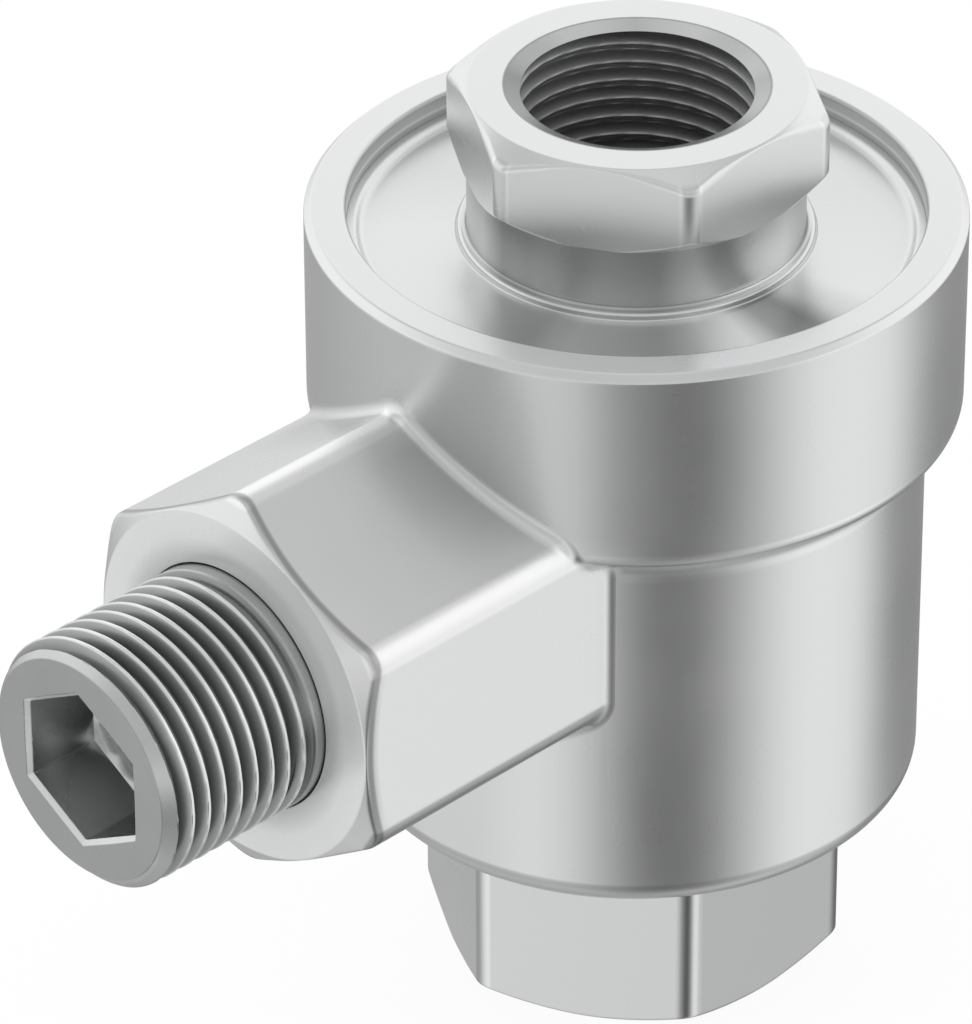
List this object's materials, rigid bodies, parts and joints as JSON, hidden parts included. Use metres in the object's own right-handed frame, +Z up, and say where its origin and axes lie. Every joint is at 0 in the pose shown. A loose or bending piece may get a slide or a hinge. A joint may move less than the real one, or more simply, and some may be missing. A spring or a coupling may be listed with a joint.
{
  "type": "quick exhaust valve",
  "caption": "Compact pneumatic quick exhaust valve with a threaded inlet on top, an exhaust port below and a threaded side nipple as outlet.",
  "frame": {"origin": "centre of the exhaust mouth on the bottom face, on the main axis", "axes": "+Z up along the main axis towards the inlet, outlet branch pointing along -X"},
  "size_m": [0.0702, 0.0426, 0.0646],
  "materials": {
    "die_cast": "satin, blasted",
    "nickel_steel": "satin plated",
    "elastomer": "matt",
    "fibre": "matt"
  },
  "bodies": {
    "housing": {"valve_body": "die_cast", "inlet_cover": "die_cast", "cover_gasket": "fibre", "outlet_nipple": "nickel_steel"},
    "cup": {"sealing_cup": "elastomer"}
  },
  "joints": [
    {"name": "cup_slide", "type": "slide", "parent": "housing", "child": "cup", "axis": [0, 0, 1], "range_m": [0, 0.0025]}
  ]
}
